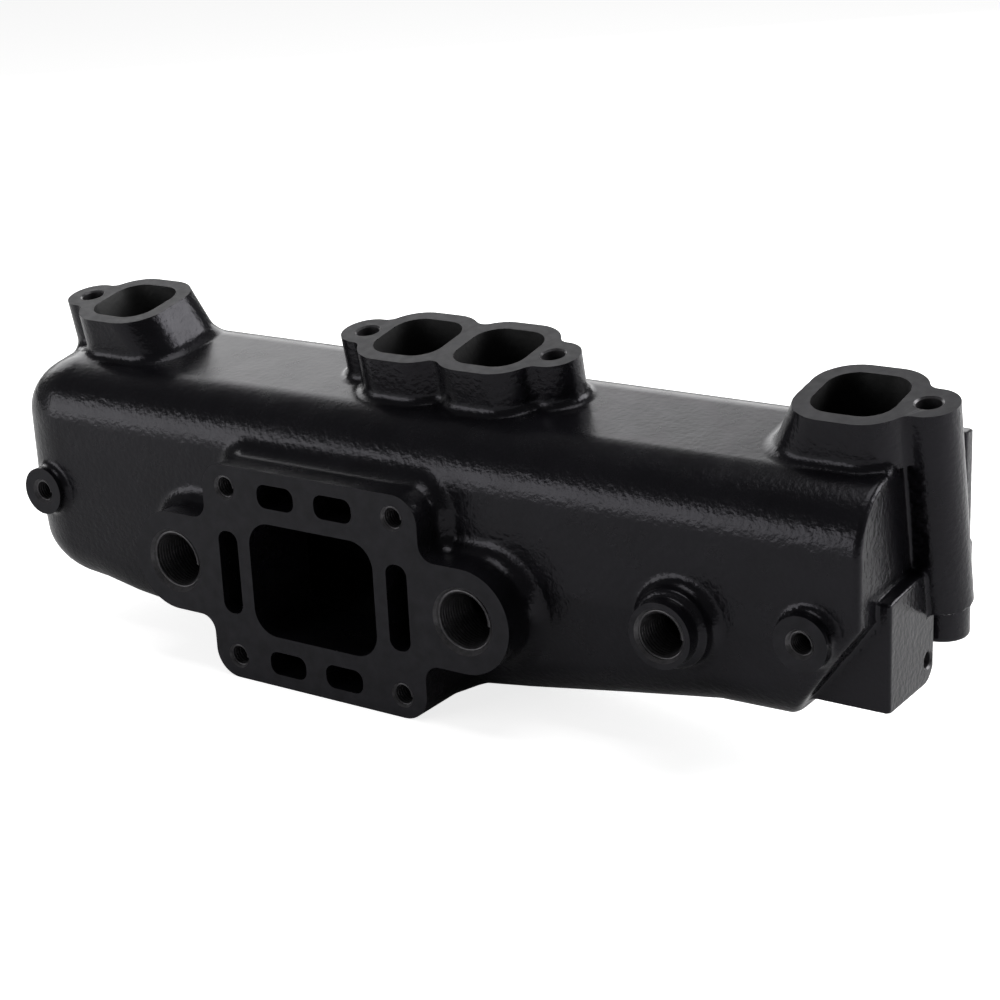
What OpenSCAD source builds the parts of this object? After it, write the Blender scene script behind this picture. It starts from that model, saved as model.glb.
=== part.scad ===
/* [Head face] */
// Lean of the head face towards the riser side, in degrees
head_tilt = 11; // [6:1:14]
// Distance of the outer head bolts from the middle
end_bolt_x = 220; // [218:1:222]
// Distance of the inner head bolts from the middle
mid_bolt_x = 49.5; // [48:0.5:51]
// Radius of a head bolt hole
bolt_hole_r = 5.15; // [4.5:0.05:5.5]
// Radius of the lobe round a head bolt hole
bolt_lobe_r = 12.3; // [11.5:0.1:13]
// Distance of the outer port centres from the middle
end_port_x = 191.7; // [190:0.1:193]
// Distance of the inner port centres from the middle
mid_port_x = 21.7; // [21:0.1:22.5]
// Width of a port opening
port_w = 35; // [33:0.5:36]
// Height of a port opening
port_h = 36; // [34:0.5:37]
// Corner radius of a port opening
port_r = 12; // [9:0.5:14]
// Wall of a port tower
tower_wall = 6.9; // [6:0.1:8]
// Height of the port towers above the log
tower_h = 20; // [18:0.5:22]
// Lean of the outer ports towards the middle, in degrees
runner_lean = 14; // [12:1:15]

/* [Log] */
// Wall of the water jacket and of the exhaust gallery
wall = 6; // [5:0.5:7]
// Front of the log, on the riser side
front_y = -45; // [-46:0.5:-44]
// Back of the log
back_y = 42.7; // [41:0.1:44]
// Right end of the log
right_x = 213; // [212:0.5:214]
// Rounding of the left end
left_round = 45; // [42:0.5:46]
// Depth of the log at the riser, from the head face
deep_z = -151.8; // [-153:0.1:-150]
// Depth of the log at the left end
left_low_z = -139.8; // [-142:0.1:-137]
// Depth of the log at the right end
right_low_z = -128; // [-130:0.5:-127]

/* [Riser flange] */
// Middle of the riser opening along the log
riser_x = -39.5; // [-41:0.5:-38]
// Middle of the riser opening below the head face
riser_z = -100.8; // [-102:0.1:-100]
// Machined face of the riser flange
riser_face_y = -63.7; // [-66:0.1:-62]
// Thickness of the riser flange
riser_t = 12; // [11:0.5:13]
// Riser bolt spacing along the log
riser_bolt_dx = 92.9; // [92:0.1:94]
// Riser bolt spacing up the log
riser_bolt_dz = 80.7; // [80:0.1:81.5]
// Tapped radius of a riser bolt hole
riser_bolt_r = 4.2; // [4:0.1:4.8]
// Depth of a riser bolt hole
riser_bolt_depth = 20; // [16:0.5:22]
// Exhaust opening width
exhaust_w = 69; // [66:0.5:70]
// Exhaust opening height
exhaust_h = 53.4; // [51:0.1:54]
// Exhaust opening corner radius
exhaust_r = 12; // [9:0.5:14]
// Distance of the water boss centres from the middle of the riser
water_x = 80.5; // [80:0.5:81]
// Radius of a water boss
water_boss_r = 23.5; // [22:0.5:24]
// Tapped radius of a water boss
water_hole_r = 12.4; // [11.5:0.1:13.3]

/* [Bosses] */
// Sensor boss place along the log
sensor_x = 134; // [130:0.5:138]
// Sensor boss place below the head face
sensor_z = -90.7; // [-93:0.1:-89]
// Sensor boss face
sensor_face_y = -60; // [-62:0.5:-58]
// Tapped radius of the sensor boss
sensor_hole_r = 9.4; // [8.5:0.1:10]
// Right bracket boss place along the log
right_boss_x = 191.5; // [188:0.5:193]
// Left bracket boss place along the log
left_boss_x = -217; // [-219:0.5:-215]
// Bracket boss place below the head face
bracket_z = -86; // [-88:0.5:-84]
// Tapped radius of a bracket boss
bracket_hole_r = 4.4; // [3.5:0.1:5]

/* [Hidden] */
$fn = 64;

cast_black = "#2b2a2e";
machined_grey = "#4a494e";

arc_steps = 8;
shoulder_r = 28;
back_r = 22;
low_r = 20;
low_in = 4.5;
mid_z = -88;
left_x = -248;
left_low_r = 38;
left_end_z = -133;
left_bend_x = -175;
plan_r = 38;
deep_half = 35;
right_bend_x = 178;
right_bend_z = -80;
skirt_h = 46;
flare_lean = 27;

// height of the log's deck under the head face, measured square to that face
deck_h = tower_h;
// centres of the shoulder roundings, from the tilted deck
shoulder_y = front_y + shoulder_r;
shoulder_z = deck_z(shoulder_y, shoulder_r);
back_c_y = back_y - back_r;
back_c_z = deck_z(back_c_y, back_r);

// where a circle of radius r at depth y touches the deck from below
function deck_z(y, r) = let (k = tan(head_tilt)) k * y - (deck_h + r) / cos(head_tilt);

sleeve_r = 9.3;
mid_left_sleeve_len = 156;
mid_right_sleeve_len = 154;
mid_right_sleeve_z = -146;
left_sleeve_len = 136;
column_len = 88;
cap_x_left = -196;
cap_x_right = 170;
split_front_y = -30;
split_back_y = 34;
split_z = -88;

gallery_top = -60;
gallery_front = -30;
gallery_back = 34;
gallery_hole_x = 175.7;
gallery_hole_y = 10.7;
gallery_hole_h = 34.4;
gallery_end = 202;

slot_x = 47;
slot_w = 11.2;
slot_h = 39.5;
small_slot_x = [-17.3, 14.6];
small_slot_z = 39.5;
small_slot_w = 20.6;
small_slot_h = 11;
flange_w = 119;
flange_h = 102;
flange_r = 12.5;
duct_wall = 5;
web_r = 7.5;
boss_post_r = 11;

sensor_boss_r = 14;
sensor_base_r = 17.5;
sensor_step = 9;
bracket_boss_r = 11.6;
bracket_base_r = 14;
bracket_step = 4;
bracket_hole_depth = 13;
left_boss_face_y = -50;
right_boss_face_y = -52;

lug_front = -30;
lug_back = 12;
lug_crest = -2;
lug_x = 219;
lug_top = -72.5;
lug_high = -69.8;
lug_low = -118.5;
lug_corner = -112;
lug_hole_y = 5.6;
lug_hole_z = -108.4;
lug_hole_r = 3.4;
lug_hole_depth = 16;
rib_x = 206;
rib_y = 22;
rib_w = 20;
rib_t = 9;
rib_h = 50;
rear_boss_x = 210.9;
rear_boss_y = 36.5;
rear_boss_r = 12;
rear_boss_top = -68;
rear_boss_low = -109.3;

module tilted() {
    rotate([head_tilt, 0, 0]) children();
}

module along_front(x, z, y0, y1) {
    translate([x, y0, z]) rotate([-90, 0, 0]) linear_extrude(y1 - y0) children();
}

module rounded(w, h, r) {
    union() {
        square([w - 2 * r, h], center = true);
        square([w, h - 2 * r], center = true);
        for (sx = [-1, 1], sy = [-1, 1])
            translate([sx * (w / 2 - r), sy * (h / 2 - r)]) circle(r);
    }
}

// points of an arc about c, from angle a0 to a1
function arc(c, r, a0, a1) = [for (k = [0:arc_steps]) let (a = a0 + (a1 - a0) * k / arc_steps)
    [c[0] + r * cos(a), c[1] + r * sin(a)]];

// cross-section of the log, drawn in by t: y across, z up
module log_profile(t) {
    polygon(concat(
        arc([back_c_y, back_c_z], back_r - t, 0, 90 + head_tilt),
        arc([shoulder_y, shoulder_z], shoulder_r - t, 90 + head_tilt, 180),
        [[front_y + t, mid_z]],
        arc([front_y + low_in + low_r, deep_z + low_r], low_r - t, 184, 270),
        arc([back_y - low_in - low_r, deep_z + low_r], low_r - t, 270, 356),
        [[back_y - t, mid_z]]));
}

// side view of the log from the riser side, drawn in by t: x across, z up
module log_side(t) {
    polygon(concat(
        [[left_x + left_round, 20]],
        arc([left_x + left_low_r, left_end_z + left_low_r], left_low_r - t, 180, 262),
        [[left_bend_x, left_low_z + t], [riser_x - deep_half, deep_z + t],
            [riser_x + deep_half, deep_z + t], [right_bend_x - t / 2, right_low_z + t],
            [right_x - t, right_bend_z], [right_x - t, 20]],
        [[left_x + t, 20]]));
}

// top view of the log, drawn in by t
module log_plan(t) {
    polygon(concat(
        [[right_x + 10, back_y + 10]],
        arc([left_x + plan_r, back_y - plan_r], plan_r - t, 90, 180),
        arc([left_x + plan_r, front_y + plan_r], plan_r - t, 180, 270),
        [[right_x + 10, front_y - 10]]));
}

// rounded shoulder of the left end, square to the head face
module left_shoulder(t) {
    tilted() translate([0, 80, 0]) rotate([90, 0, 0]) linear_extrude(160) polygon(concat(
        [[right_x + 10, -deck_h - t]],
        arc([left_x + left_round, -deck_h - left_round], left_round - t, 90, 180),
        [[left_x + t, -200], [right_x + 10, -200]]));
}

module log_bar(t) {
    intersection() {
        translate([left_x - 10, 0, 0]) rotate([90, 0, 90]) linear_extrude(right_x - left_x + 20)
            log_profile(t);
        translate([0, 80, 0]) rotate([90, 0, 0]) linear_extrude(160) log_side(t);
    }
}

module left_end_solid(t) {
    intersection() {
        log_bar(t);
        left_shoulder(t);
        translate([0, 0, -200]) linear_extrude(220) log_plan(t);
    }
}

module neck_outline() {
    rounded(flange_w, flange_h, flange_r);
}

module lug_block() {
    intersection() {
        translate([0, lug_back, 0]) rotate([90, 0, 0]) linear_extrude(lug_back - lug_front)
            polygon([[right_x - 2.3, lug_high], [lug_x, lug_high], [lug_x, lug_low], [180, lug_low],
                [right_x - 2.3, right_bend_z + 1.8]]);
        translate([170, 0, 0]) rotate([90, 0, 90]) linear_extrude(60)
            polygon([[lug_front, lug_low], [lug_crest, lug_low], [lug_back, lug_corner],
                [lug_back, lug_high], [lug_crest, lug_high], [lug_front, lug_top]]);
    }
}

module rear_rib_block() {
    translate([rib_x, rib_y, rear_boss_top]) cube([rib_w, rib_t, rib_h]);
}

module rear_boss_solid() {
    translate([rear_boss_x, rear_boss_y, rear_boss_low])
        cylinder(r = rear_boss_r, h = rear_boss_top - rear_boss_low);
}

module sleeve_solid(x, r, len) {
    tilted() translate([x, 0, -len]) cylinder(r = r, h = len);
}

module water_boss_outline(s) {
    reach = water_x - flange_w / 2;
    translate([s * water_x, 0]) circle(water_boss_r);
    translate([s * (water_x - reach / 2), 0]) square([reach, 2 * water_boss_r], center = true);
    for (sz = [-1, 1])
        translate([s * flange_w / 2, sz * water_boss_r]) difference() {
            translate([s * web_r / 2, sz * web_r / 2]) square(web_r, center = true);
            translate([s * web_r, sz * web_r]) circle(web_r);
        }
}

module water_boss_solid(s) {
    along_front(riser_x, riser_z, riser_face_y, -38) difference() {
        water_boss_outline(s);
        square([flange_w, flange_h], center = true);
    }
}

// sleeve of a middle bolt, trimmed level with the underside
module mid_sleeve(x, len, low) {
    intersection() {
        sleeve_solid(x, sleeve_r, len);
        region(x - sleeve_r - 1, x + sleeve_r + 1, -20, 60, low, 10);
    }
}

module mid_sleeves() {
    mid_sleeve(-mid_bolt_x, mid_left_sleeve_len, deep_z);
    mid_sleeve(mid_bolt_x, mid_right_sleeve_len, mid_right_sleeve_z);
}

module boss_solid(x, z, r, y0) {
    along_front(x, z, y0, -36) circle(r);
}

module port_tube(s, x, grow, lean) {
    lw = (port_w + 2 * grow) * cos(lean);
    tilted() translate([s * x, 0, 0]) rotate([0, s * lean, 0]) translate([0, 0, -90])
        linear_extrude(100) rounded(lw, port_h + 2 * grow, port_r + grow * 0.75);
}

module runner_tubes(grow) {
    for (s = [-1, 1]) {
        port_tube(s, end_port_x, grow, runner_lean);
        port_tube(s, mid_port_x, grow, 0);
    }
}

// everything that is set into the wall of the log
module inserts() {
    for (s = [-1, 1]) water_boss_solid(s);
    mid_sleeves();
    bolt_hole(mid_bolt_x, mid_right_sleeve_len);
    sleeve_solid(-end_bolt_x, sleeve_r, left_sleeve_len);
    sleeve_solid(-end_bolt_x, bolt_lobe_r, skirt_h);
    column_solid();
    along_front(riser_x, riser_z, riser_face_y, 0) neck_outline();
    boss_solid(sensor_x, sensor_z, sensor_base_r, sensor_face_y);
    boss_solid(right_boss_x, bracket_z, bracket_base_r, riser_face_y);
    boss_solid(left_boss_x, bracket_z, bracket_base_r, riser_face_y);
    lug_block();
    rear_rib_block();
    rear_boss_solid();
    runner_tubes(5);
}

module region(x0, x1, y0, y1, z0, z1) {
    translate([x0, y0, z0]) cube([x1 - x0, y1 - y0, z1 - z0]);
}

module jacket_piece() {
    color(cast_black) difference() {
        intersection() {
            log_bar(0);
            children();
        }
        log_bar(wall);
        inserts();
    }
}

module top_deck() {
    jacket_piece() region(cap_x_left, cap_x_right, split_front_y, split_back_y, split_z, 10);
}

module floor_wall() {
    jacket_piece() region(cap_x_left, cap_x_right, split_front_y, split_back_y, -170, split_z);
}

module front_wall() {
    jacket_piece() region(cap_x_left, cap_x_right, -60, split_front_y, -170, 10);
}

module back_wall() {
    jacket_piece() region(cap_x_left, cap_x_right, split_back_y, 60, -170, 10);
}

module left_end_cap() {
    color(cast_black) difference() {
        intersection() {
            left_end_solid(0);
            region(-270, cap_x_left, -60, 60, -170, 10);
        }
        left_end_solid(wall);
        inserts();
    }
}

module right_end_cap() {
    jacket_piece() region(cap_x_right, 240, -60, 60, -170, 10);
}

module tower_outline(x) {
    translate([x, 0]) rounded(port_w + 2 * tower_wall, port_h + 2 * tower_wall + 0.6, 18);
}

module end_tower(s) {
    color(cast_black) difference() {
        union() {
            tilted() translate([0, 0, -tower_h]) linear_extrude(tower_h)
                tower_outline(s * end_port_x);
            intersection() {
                port_tube(s, end_port_x, tower_wall - 1, flare_lean);
                tilted() region(-260, 260, -60, 60, -tower_h, 0);
            }
            sleeve_solid(s * end_bolt_x, bolt_lobe_r, s < 0 ? skirt_h : tower_h);
        }
        port_tube(s, end_port_x, 0, runner_lean);
        sleeve_solid(s * end_bolt_x, sleeve_r, 60);
    }
}

module left_port_tower() {
    end_tower(-1);
}

module right_port_tower() {
    end_tower(1);
}

module centre_port_tower() {
    color(cast_black) difference() {
        tilted() translate([0, 0, -tower_h]) linear_extrude(tower_h) union() {
            for (s = [-1, 1]) {
                tower_outline(s * mid_port_x);
                translate([s * mid_bolt_x, 0]) circle(bolt_lobe_r);
            }
            square([20, 34], center = true);
        }
        for (s = [-1, 1]) {
            port_tube(s, mid_port_x, 0, 0);
            sleeve_solid(s * mid_bolt_x, sleeve_r, 60);
        }
    }
}

module runner(s, x, lean) {
    color(cast_black) difference() {
        intersection() {
            port_tube(s, x, 5, lean);
            tilted() region(-260, 260, -60, 60, -120, -tower_h);
            region(-260, 260, -60, 60, gallery_top, 20);
        }
        port_tube(s, x, 0, lean);
        if (x < 100) {
            sleeve_solid(s * mid_bolt_x, sleeve_r, 120);
            region(s > 0 ? -60 : 0, s > 0 ? 0 : 60, -60, 60, -120, 20);
        }
    }
}

module left_runner() {
    runner(-1, end_port_x, runner_lean);
}

module centre_left_runner() {
    runner(-1, mid_port_x, 0);
}

module centre_right_runner() {
    runner(1, mid_port_x, 0);
}

module right_runner() {
    runner(1, end_port_x, runner_lean);
}

module gallery_outline(t) {
    polygon([[-gallery_end + t, gallery_top - t], [gallery_end - t, gallery_top - t],
        [gallery_end - t, -74 + t / 2], [174 - t / 2, -112 + t], [riser_x + 46, -138 + t],
        [riser_x - 46, -138 + t], [-gallery_end + t, -116 + t]]);
}

module gallery_ports() {
    for (x = [-gallery_hole_x, -mid_port_x, mid_port_x, gallery_hole_x])
        translate([x, gallery_hole_y, gallery_top - wall - 1]) linear_extrude(wall + 2)
            rounded(port_w, gallery_hole_h, 10);
}

module exhaust_gallery() {
    color(cast_black) difference() {
        translate([0, gallery_back, 0]) rotate([90, 0, 0])
            linear_extrude(gallery_back - gallery_front) gallery_outline(0);
        translate([0, gallery_back - wall, 0]) rotate([90, 0, 0])
            linear_extrude(gallery_back - gallery_front - 2 * wall) gallery_outline(wall);
        gallery_ports();
        along_front(riser_x, riser_z, riser_face_y, gallery_front + wall + 1)
            rounded(exhaust_w, exhaust_h, exhaust_r);
        mid_sleeves();
    }
}

module riser_duct() {
    color(cast_black) along_front(riser_x, riser_z, riser_face_y + riser_t, gallery_front)
        difference() {
            rounded(exhaust_w + 2 * duct_wall, exhaust_h + 2 * duct_wall, exhaust_r + duct_wall);
            rounded(exhaust_w, exhaust_h, exhaust_r);
        }
}

module riser_bolt_places() {
    for (sx = [-1, 1], sz = [-1, 1])
        translate([sx * riser_bolt_dx / 2, sz * riser_bolt_dz / 2]) children();
}

module neck_passage() {
    difference() {
        rounded(flange_w - 2 * wall, flange_h - 2 * wall, 8);
        riser_bolt_places() circle(boss_post_r);
    }
}

module riser_neck() {
    color(cast_black) difference() {
        along_front(riser_x, riser_z, riser_face_y + riser_t, 0) difference() {
            neck_outline();
            neck_passage();
        }
        log_bar(wall);
        along_front(riser_x, riser_z, riser_face_y - 1, riser_face_y + riser_bolt_depth)
            riser_bolt_places() circle(riser_bolt_r);
    }
}

module riser_flange() {
    color(machined_grey) along_front(riser_x, riser_z, riser_face_y, riser_face_y + riser_t)
        difference() {
            neck_outline();
            rounded(exhaust_w, exhaust_h, exhaust_r);
            riser_bolt_places() circle(riser_bolt_r);
            for (s = [-1, 1]) {
                translate([s * slot_x, 0]) rounded(slot_w, slot_h, 5);
                for (x = small_slot_x) translate([x, s * small_slot_z])
                    rounded(small_slot_w, small_slot_h, 4.5);
            }
        }
}

module water_boss(s) {
    color(machined_grey) difference() {
        water_boss_solid(s);
        along_front(riser_x + s * water_x, riser_z, riser_face_y - 1, -30) circle(water_hole_r);
    }
}

module left_water_boss() {
    water_boss(-1);
}

module right_water_boss() {
    water_boss(1);
}

module bolt_hole(x, len) {
    tilted() translate([x, 0, -len - 1]) cylinder(r = bolt_hole_r, h = len + 2);
}

module left_bolt_sleeve() {
    color(cast_black) difference() {
        sleeve_solid(-end_bolt_x, sleeve_r, left_sleeve_len);
        bolt_hole(-end_bolt_x, left_sleeve_len);
    }
}

module centre_left_bolt_sleeve() {
    color(cast_black) difference() {
        mid_sleeve(-mid_bolt_x, mid_left_sleeve_len, deep_z);
        bolt_hole(-mid_bolt_x, mid_left_sleeve_len);
    }
}

module centre_right_bolt_sleeve() {
    color(cast_black) difference() {
        mid_sleeve(mid_bolt_x, mid_right_sleeve_len, mid_right_sleeve_z);
        bolt_hole(mid_bolt_x, mid_right_sleeve_len);
    }
}

module column_solid() {
    difference() {
        sleeve_solid(end_bolt_x, bolt_lobe_r, column_len);
        tilted() translate([end_bolt_x, 0, -tower_h]) cylinder(r = bolt_lobe_r + 1, h = tower_h + 1);
    }
}

module right_bolt_column() {
    color(cast_black) difference() {
        union() {
            column_solid();
            sleeve_solid(end_bolt_x, sleeve_r, column_len);
        }
        bolt_hole(end_bolt_x, column_len);
    }
}

module sensor_boss() {
    color(machined_grey) difference() {
        union() {
            boss_solid(sensor_x, sensor_z, sensor_boss_r, sensor_face_y);
            boss_solid(sensor_x, sensor_z, sensor_base_r, sensor_face_y + sensor_step);
        }
        along_front(sensor_x, sensor_z, sensor_face_y - 1, -30) circle(sensor_hole_r);
    }
}

module bracket_boss(x, y0) {
    color(machined_grey) difference() {
        union() {
            boss_solid(x, bracket_z, bracket_boss_r, y0);
            boss_solid(x, bracket_z, bracket_base_r, y0 + bracket_step);
        }
        along_front(x, bracket_z, y0 - 1, y0 + bracket_hole_depth) circle(bracket_hole_r);
    }
}

module left_bracket_boss() {
    bracket_boss(left_boss_x, left_boss_face_y);
}

module right_bracket_boss() {
    bracket_boss(right_boss_x, right_boss_face_y);
}

module end_lug() {
    color(cast_black) difference() {
        lug_block();
        column_solid();
        translate([lug_x - lug_hole_depth, lug_hole_y, lug_hole_z]) rotate([0, 90, 0]) cylinder(r = lug_hole_r, h = 20);
    }
}

module rear_rib() {
    color(cast_black) difference() {
        rear_rib_block();
        column_solid();
    }
}

module rear_boss() {
    color(cast_black) difference() {
        rear_boss_solid();
        lug_block();
        column_solid();
    }
}

top_deck();
front_wall();
back_wall();
floor_wall();
left_end_cap();
right_end_cap();
left_port_tower();
centre_port_tower();
right_port_tower();
left_runner();
centre_left_runner();
centre_right_runner();
right_runner();
exhaust_gallery();
riser_duct();
riser_neck();
riser_flange();
left_water_boss();
right_water_boss();
left_bolt_sleeve();
centre_left_bolt_sleeve();
centre_right_bolt_sleeve();
right_bolt_column();
sensor_boss();
left_bracket_boss();
right_bracket_boss();
end_lug();
rear_rib();
rear_boss();
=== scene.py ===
import math
import time

import bpy
import numpy as np
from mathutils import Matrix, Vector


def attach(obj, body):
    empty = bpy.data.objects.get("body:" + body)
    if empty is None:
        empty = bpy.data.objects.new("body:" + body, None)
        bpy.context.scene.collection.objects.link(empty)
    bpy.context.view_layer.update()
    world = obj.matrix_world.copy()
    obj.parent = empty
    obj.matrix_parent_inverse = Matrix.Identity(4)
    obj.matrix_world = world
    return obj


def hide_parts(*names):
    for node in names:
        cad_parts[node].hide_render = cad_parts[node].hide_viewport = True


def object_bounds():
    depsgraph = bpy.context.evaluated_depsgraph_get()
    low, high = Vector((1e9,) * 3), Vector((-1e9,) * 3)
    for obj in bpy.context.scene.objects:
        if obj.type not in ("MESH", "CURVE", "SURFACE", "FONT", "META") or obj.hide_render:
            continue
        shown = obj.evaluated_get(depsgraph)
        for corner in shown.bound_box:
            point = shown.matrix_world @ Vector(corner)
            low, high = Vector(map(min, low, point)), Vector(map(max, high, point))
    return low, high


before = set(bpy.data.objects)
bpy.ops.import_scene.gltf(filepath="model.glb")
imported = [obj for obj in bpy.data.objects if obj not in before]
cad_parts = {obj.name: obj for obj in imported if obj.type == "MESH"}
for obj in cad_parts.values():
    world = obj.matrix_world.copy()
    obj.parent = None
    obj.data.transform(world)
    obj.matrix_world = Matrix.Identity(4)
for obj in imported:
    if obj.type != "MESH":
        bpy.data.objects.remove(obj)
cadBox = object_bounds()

import openvdb
from mathutils import Matrix, Vector

startTime = time.time()


def say(words):
    print("manifold:", words, "at", round(time.time() - startTime, 1), "s")


scene = bpy.context.scene
millimetre = 0.001

head = {"tilt": math.radians(11.0), "machiningStock": 2.0}
sinTilt = math.sin(head["tilt"])
cosTilt = math.cos(head["tilt"])

# all sizes are in millimetres
log = {
    "lowest": -151.8, "deckDepth": 20.0, "front": -45.0, "back": 42.7, "left": -248.0, "right": 213.0,
    "shoulder": 28.0, "backShoulder": 22.0, "lowCorner": 20.0, "partingZ": -88.0, "draft": 0.1,
    "endRound": 40.0, "edgeRound": 2.5, "slantRound": 4.0, "slantTop": (213.0, -80.0),
    "slantFoot": (178.0, -128.0),
    "underside": [(-260, -131.5), (-235, -132), (-197, -136), (-177, -140), (-76, -151.6),
                  (-5, -151.6), (50, -143.7), (100, -135.5), (145, -128.6), (178, -128), (260, -128)],
    "wall": 6.0,
}

towers = {
    "portX": (191.7, 21.7), "halfWide": 24.3, "halfHigh": 25.0, "corner": 18.0,
    "flare": 0.5, "boltX": (220.0, 49.5), "lobe": 12.3, "lobeFillet": 4.0, "footFillet": 4.5,
    "pairFillet": 6.0, "skirt": 42.0, "overhang": 21.5,
}

leftLobe = {"length": 90.0, "fillet": 5.0}

ports = {"wide": 35.0, "high": 36.0, "corner": 12.0, "endLean": math.tan(math.radians(14.0)),
         "depth": 78.0}

gallery = {
    "front": -30.0, "back": 34.0, "top": -60.0, "wall": 6.0, "end": 202.0, "runnerWall": 5.0,
    "runnerDepth": 80.0, "low": -138.0, "leftFoot": (-125.0, -123.6), "leftSlope": 0.173,
    "rightFoot": (133.0, -118.0), "rightSlope": 0.158, "slantFoot": (188.0, -93.0), "slantRun": (28.0, 38.0),
    "sideRound": 10.0, "endRound": 8.0,
}

riser = {
    "x": -39.5, "z": -100.8, "face": -63.7, "wide": 119.0, "high": 102.0, "corner": 12.5,
    "openWide": 69.0, "openHigh": 53.4, "openCorner": 12.0, "ductWall": 5.0,
    "boltX": 46.45, "boltZ": 40.35, "boltMajor": 4.85, "boltMinor": 4.05, "boltPitch": 1.5875,
    "boltDepth": 20.0, "boltMouth": 5.75,
    "slotX": 47.0, "slotWide": 11.2, "slotHigh": 39.5, "slotCorner": 5.0,
    "smallX": (-17.3, 14.6), "smallZ": 39.5, "smallWide": 20.6, "smallHigh": 11.0, "smallCorner": 4.5,
    "neckFillet": 6.0, "neckWall": 6.0, "neckRoot": -20.0, "innerCorner": 8.0, "studLump": 11.0,
    "plate": 12.0, "throat": -30.0, "slotRoot": -45.0, "ductRoot": -25.0, "ductMouth": 5.0,
    "openingRoot": -22.0,
}

ears = {"x": 80.5, "radius": 23.5, "webFillet": 7.5, "backFillet": 8.0, "major": 13.3, "minor": 12.1,
        "pitch": 1.814, "chamfer": 15.2, "inner": -38.0,
        "inset": 4.0, "threadDepth": 25.0}

sensor = {"x": 134.0, "z": -90.7, "face": -60.0, "disc": 14.0, "base": 17.0, "step": 7.5,
          "fillet": 5.0, "major": 10.3, "minor": 9.1, "pitch": 1.814, "chamfer": 11.6,
          "stepRound": 2.0, "root": -25.0, "inner": -36.0, "depth": 25.0, "threadDepth": 22.0}

brackets = {"x": (-217.0, 191.5), "z": -86.0, "face": (-50.0, -52.0), "disc": 11.6,
            "fillet": 3.5, "root": -25.0, "inner": -35.0, "major": 4.9, "minor": 4.1, "pitch": 1.41,
            "depth": 13.0, "chamfer": 6.2}

boltHoles = {"x": (-220.0, -49.5, 49.5, 220.0), "length": (136.0, 150.0, 144.0, 88.0),
             "radius": 5.15, "sleeve": 9.3, "chamfer": 5.9, "columnFillet": 3.0}

lug = {"front": -30.0, "back": 12.0, "x": 219.0, "top": -72.5, "crest": -69.8, "low": -118.5,
       "root": 178.0, "slope": 0.096, "edge": 1.6, "lowRound": 9.0, "lowEdge": 1.2, "fillet": 1.8,
       "holeY": 5.6, "holeZ": -108.4, "holeRadius": 3.4, "holeMouth": 4.1, "holeDepth": 16.0}

rearBoss = {"x": 210.9, "y": 36.5, "radius": 11.9, "top": -68.2, "low": -109.2, "edge": 1.5,
            "fillet": 3.0}
rearRib = {"x0": 206.0, "x1": 226.0, "y0": 22.5, "y1": 30.5, "z0": -67.0, "z1": -17.5, "corner": 2.0,
           "fillet": 3.0}

reach = {"x": 260.0, "y": 60.0, "low": -160.0, "high": 10.0}  # just beyond the casting
casting = {"cell": 1.25, "low": (-252.0, -69.0, -156.0), "high": (238.0, 50.0, 9.0), "band": 5.0,
           "settling": 3}


# where two faces meet in a rounded outside edge; c is the cosine between them
def roundMax(a, b, r, c=0.0):
    u = a + r
    v = b + r
    inside = (u - c * v > 0) & (v - c * u > 0)
    arc = np.sqrt(np.maximum(u * u + v * v - 2 * c * u * v, 0) / (1 - c * c)) - r
    return np.where(inside, arc, np.maximum(a, b))


def roundMin(a, b, r):  # a fillet of radius r in an inside corner
    u = np.maximum(r - a, 0)
    v = np.maximum(r - b, 0)
    return np.maximum(np.minimum(a, b), r) - np.sqrt(u * u + v * v)


def roundedRect(u, v, halfU, halfV, r):
    a = np.abs(u) - (halfU - r)
    b = np.abs(v) - (halfV - r)
    outside = np.sqrt(np.maximum(a, 0) ** 2 + np.maximum(b, 0) ** 2)
    return outside + np.minimum(np.maximum(a, b), 0) - r


def headPlace(y, z):  # along and above the head face
    return y * cosTilt + z * sinTilt, z * cosTilt - y * sinTilt


def endField(x, z):  # square end, slanted below
    (x1, z1), (x0, z0) = log["slantTop"], log["slantFoot"]
    size = math.hypot(x1 - x0, z1 - z0)
    slant = ((x - x1) * (z1 - z0) - (z - z1) * (x1 - x0)) / size
    return roundMax(x - log["right"], slant, log["slantRound"], (z1 - z0) / size)


def barField(x, y, z):
    along, up = headPlace(y, z)
    deck = up + log["deckDepth"]
    frontUpper = -(y - log["front"])
    frontLower = (frontUpper - log["draft"] * (z - log["partingZ"])) / math.hypot(1, log["draft"])
    front = np.maximum(frontUpper, frontLower)
    backUpper = y - log["back"]
    backLower = (backUpper - log["draft"] * (z - log["partingZ"])) / math.hypot(1, log["draft"])
    back = np.maximum(backUpper, backLower)
    knots = np.array(log["underside"], float)
    floor = np.interp(x, knots[:, 0], knots[:, 1]) - z
    upper = roundMax(deck, front, log["shoulder"], sinTilt)
    upper = roundMax(upper, back, log["backShoulder"], -sinTilt)
    lower = roundMax(floor, np.maximum(front, back), log["lowCorner"])
    return roundMax(np.maximum(upper, lower), log["left"] - x, log["endRound"])


def logField(x, y, z):
    return roundMax(barField(x, y, z), endField(x, z), log["edgeRound"])


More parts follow.
